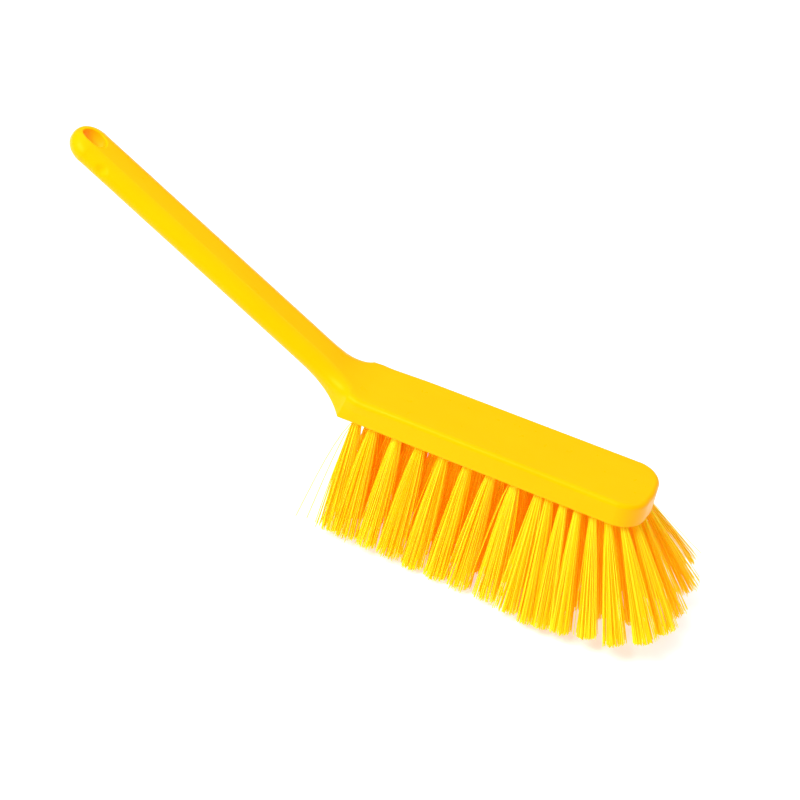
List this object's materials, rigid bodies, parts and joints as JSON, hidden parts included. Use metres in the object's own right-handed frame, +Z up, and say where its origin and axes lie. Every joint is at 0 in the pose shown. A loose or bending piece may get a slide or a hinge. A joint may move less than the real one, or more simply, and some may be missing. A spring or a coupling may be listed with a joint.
{
  "type": "hand brush",
  "caption": "Moulded plastic hand brush with an upswept one-piece handle, a hanging hole and splayed filament tufts under a rounded block.",
  "frame": {"origin": "centre of the bounding box, on the plane of the tuft tips that the brush stands on", "axes": "+X from the handle towards the nose, +Y to the left of that, +Z up from the tuft tips to the block's top"},
  "size_m": [0.3361, 0.0786, 0.1484],
  "materials": {
    "stock_plastic": "satin yellow polypropylene",
    "filament": "crimp-free yellow polyester filament, satin"
  },
  "bodies": {
    "root": {"brush_stock": "stock_plastic", "tuft_outer_right_01": "filament", "tuft_outer_right_02": "filament", "tuft_outer_right_03": "filament", "tuft_outer_right_04": "filament", "tuft_outer_right_05": "filament", "tuft_outer_right_06": "filament", "tuft_outer_right_07": "filament", "tuft_outer_right_08": "filament", "tuft_outer_right_09": "filament", "tuft_inner_right_01": "filament", "tuft_inner_right_02": "filament", "tuft_inner_right_03": "filament", "tuft_inner_right_04": "filament", "tuft_inner_right_05": "filament", "tuft_inner_right_06": "filament", "tuft_inner_right_07": "filament", "tuft_inner_right_08": "filament", "tuft_inner_right_09": "filament", "tuft_inner_right_10": "filament", "tuft_inner_right_11": "filament", "tuft_inner_right_12": "filament", "tuft_inner_right_13": "filament", "tuft_outer_left_01": "filament", "tuft_outer_left_02": "filament", "tuft_outer_left_03": "filament", "tuft_outer_left_04": "filament", "tuft_outer_left_05": "filament", "tuft_outer_left_06": "filament", "tuft_outer_left_07": "filament", "tuft_outer_left_08": "filament", "tuft_outer_left_09": "filament", "tuft_inner_left_01": "filament", "tuft_inner_left_02": "filament", "tuft_inner_left_03": "filament", "tuft_inner_left_04": "filament", "tuft_inner_left_05": "filament", "tuft_inner_left_06": "filament", "tuft_inner_left_07": "filament", "tuft_inner_left_08": "filament", "tuft_inner_left_09": "filament", "tuft_inner_left_10": "filament", "tuft_inner_left_11": "filament", "tuft_inner_left_12": "filament", "tuft_inner_left_13": "filament", "tuft_nose_01": "filament", "tuft_nose_02": "filament", "tuft_nose_03": "filament", "tuft_nose_04": "filament", "tuft_nose_05": "filament", "tuft_nose_06": "filament", "tuft_nose_07": "filament", "tuft_nose_08": "filament", "tuft_nose_09": "filament", "tuft_nose_10": "filament", "tuft_nose_11": "filament", "tuft_nose_12": "filament", "tuft_nose_13": "filament", "tuft_nose_14": "filament", "tuft_nose_15": "filament"}
  },
  "joints": []
}
